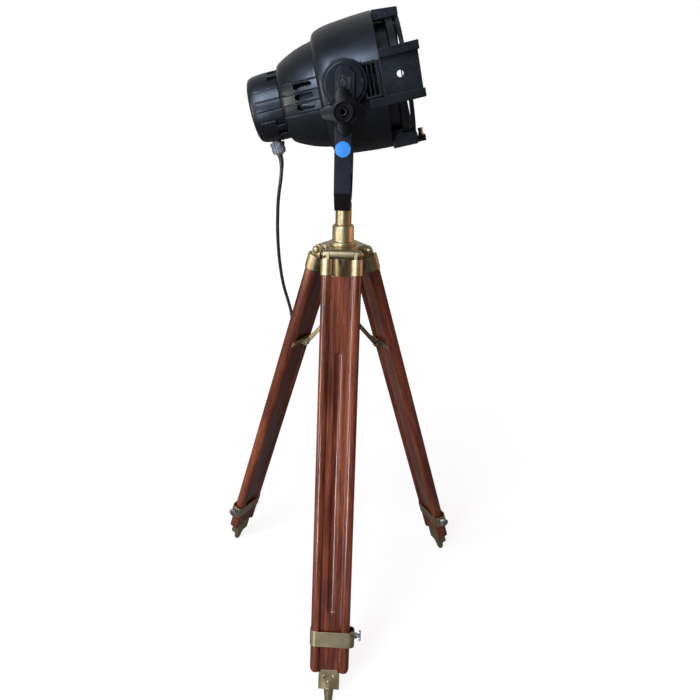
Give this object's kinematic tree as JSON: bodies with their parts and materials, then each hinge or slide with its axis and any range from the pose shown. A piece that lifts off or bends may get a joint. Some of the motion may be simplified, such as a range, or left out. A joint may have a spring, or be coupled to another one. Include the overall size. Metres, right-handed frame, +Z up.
{
  "type": "tripod spotlight floor lamp",
  "caption": "Theatre-style spotlight floor lamp: a black lantern with a glass lens tilts in a flat yoke on a folding wooden surveyor's tripod with brass fittings.",
  "frame": {"origin": "on the floor, under the middle of the lamp's bounding box without its mains cable", "axes": "+Z up, +X the way the lantern aims, front leg towards -Y"},
  "size_m": [0.5473, 0.6856, 1.163],
  "materials": {
    "brass": "antique satin",
    "wood": "semi-gloss lacquer",
    "black_paint": "fine-textured satin black",
    "yoke_paint": "satin black",
    "steel": "satin",
    "dark_steel": "dull",
    "label": "satin",
    "glass": "clear",
    "reflector": "polished",
    "ceramic": "glazed",
    "knob": "satin",
    "gland": "satin",
    "cable": "satin"
  },
  "bodies": {
    "stand": {"hub": "brass", "column_socket": "brass", "centre_rod": "brass", "cable_mid": "cable"},
    "yoke": {"yoke": "yoke_paint", "spigot": "brass", "yoke_bolt": "steel", "round_label": "label", "cable_upper": "cable"},
    "lantern": {"hood": "black_paint", "body_shell": "black_paint", "rear_cap": "black_paint", "inner_sleeve": "black_paint", "front_ring": "black_paint", "top_block": "black_paint", "lens": "glass", "lens_clamp": "dark_steel", "reflector": "reflector", "lamp": "glass", "lamp_holder": "ceramic", "bracket_near": "black_paint", "bracket_far": "black_paint", "pivot_screws": "dark_steel", "front_catch": "black_paint", "gland": "gland"},
    "tilt_knob": {"tilt_knob": "knob"},
    "catch": {"catch_plunger": "brass"},
    "runner": {"runner": "brass"},
    "leg_front": {"ferrules_front": "brass", "rails_front": "wood", "collar_front": "brass", "hinge_bolt_front": "brass", "stay_bracket_front": "brass"},
    "foot_front": {"plank_front": "wood", "shoe_front": "brass"},
    "thumbscrew_front": {"thumbscrew_front": "steel"},
    "stay_front": {"stay_front": "brass"},
    "leg_left": {"ferrules_left": "brass", "rails_left": "wood", "collar_left": "brass", "hinge_bolt_left": "brass", "stay_bracket_left": "brass", "cable_lower": "cable", "cable_hank": "cable", "hank_tie": "cable", "plug": "cable"},
    "foot_left": {"plank_left": "wood", "shoe_left": "brass"},
    "thumbscrew_left": {"thumbscrew_left": "steel"},
    "stay_left": {"stay_left": "brass"},
    "leg_right": {"ferrules_right": "brass", "rails_right": "wood", "collar_right": "brass", "hinge_bolt_right": "brass", "stay_bracket_right": "brass"},
    "foot_right": {"plank_right": "wood", "shoe_right": "brass"},
    "thumbscrew_right": {"thumbscrew_right": "steel"},
    "stay_right": {"stay_right": "brass"}
  },
  "joints": [
    {"name": "pan", "type": "hinge", "parent": "stand", "child": "yoke", "pos_m": [0, 0.065, 0.8], "axis": [0, 0, 1], "range_deg": [-90, 90], "deforming": ["cable_mid"]},
    {"name": "tilt", "type": "hinge", "parent": "yoke", "child": "lantern", "pos_m": [0, 0.065, 1.05433], "axis": [0, -1, 0], "range_deg": [-30, 60], "deforming": ["cable_upper"]},
    {"name": "tilt_knob_turn", "type": "hinge", "parent": "yoke", "child": "tilt_knob", "pos_m": [0, -0.06, 1.01533], "axis": [0, -1, 0], "range_deg": [-180, 0]},
    {"name": "catch_lift", "type": "slide", "parent": "lantern", "child": "catch", "axis": [-0.2284, 0, 0.9736], "range_m": [0, 0.005], "stiffness_N_per_m": 300, "springref_m": -0.002},
    {"name": "fold_front", "type": "hinge", "parent": "stand", "child": "leg_front", "pos_m": [0, 0.027, 0.78043], "axis": [1, 0, 0], "range_deg": [0, 17]},
    {"name": "fold_left", "type": "hinge", "parent": "stand", "child": "leg_left", "pos_m": [-0.03291, 0.084, 0.78043], "axis": [-0.5, -0.866, 0], "range_deg": [0, 17], "deforming": ["cable_lower", "cable_hank"]},
    {"name": "fold_right", "type": "hinge", "parent": "stand", "child": "leg_right", "pos_m": [0.03291, 0.084, 0.78043], "axis": [-0.5, 0.866, 0], "range_deg": [0, 17]},
    {"name": "extend_front", "type": "slide", "parent": "leg_front", "child": "foot_front", "axis": [0, -0.314, -0.9494], "range_m": [0, 0.35]},
    {"name": "extend_left", "type": "slide", "parent": "leg_left", "child": "foot_left", "axis": [-0.2719, 0.157, -0.9494], "range_m": [0, 0.35]},
    {"name": "extend_right", "type": "slide", "parent": "leg_right", "child": "foot_right", "axis": [0.2719, 0.157, -0.9494], "range_m": [0, 0.35]},
    {"name": "thumbscrew_front_turn", "type": "hinge", "parent": "leg_front", "child": "thumbscrew_front", "pos_m": [0.05, -0.18934, 0.12627], "axis": [1, 0, 0], "range_deg": [0, 180]},
    {"name": "thumbscrew_left_turn", "type": "hinge", "parent": "leg_left", "child": "thumbscrew_left", "pos_m": [-0.24527, 0.14887, 0.12627], "axis": [-0.5, -0.866, 0], "range_deg": [0, 180]},
    {"name": "thumbscrew_right_turn", "type": "hinge", "parent": "leg_right", "child": "thumbscrew_right", "pos_m": [0.24527, 0.14887, 0.12627], "axis": [0.5, -0.866, 0], "range_deg": [0, 180]},
    {"name": "stay_front_swing", "type": "hinge", "parent": "leg_front", "child": "stay_front", "pos_m": [0, -0.01585, 0.58079], "axis": [1, 0, 0], "range_deg": [0, 24]},
    {"name": "stay_left_swing", "type": "hinge", "parent": "leg_left", "child": "stay_left", "pos_m": [-0.07002, 0.10543, 0.58079], "axis": [-0.5, -0.866, 0], "range_deg": [0, 24]},
    {"name": "stay_right_swing", "type": "hinge", "parent": "leg_right", "child": "stay_right", "pos_m": [0.07002, 0.10543, 0.58079], "axis": [-0.5, 0.866, 0], "range_deg": [0, 24]},
    {"name": "runner_slide", "type": "slide", "parent": "stand", "child": "runner", "axis": [0, 0, 1], "range_m": [0, 0.0205]}
  ],
  "couplings": [
    {"joint": "fold_left", "follows": "fold_front", "ratio": 1},
    {"joint": "fold_right", "follows": "fold_front", "ratio": 1},
    {"joint": "stay_front_swing", "follows": "fold_front", "ratio": 1.394},
    {"joint": "stay_left_swing", "follows": "fold_front", "ratio": 1.394},
    {"joint": "stay_right_swing", "follows": "fold_front", "ratio": 1.394},
    {"joint": "runner_slide", "follows": "fold_front", "m_per_rad": 0.0674}
  ]
}
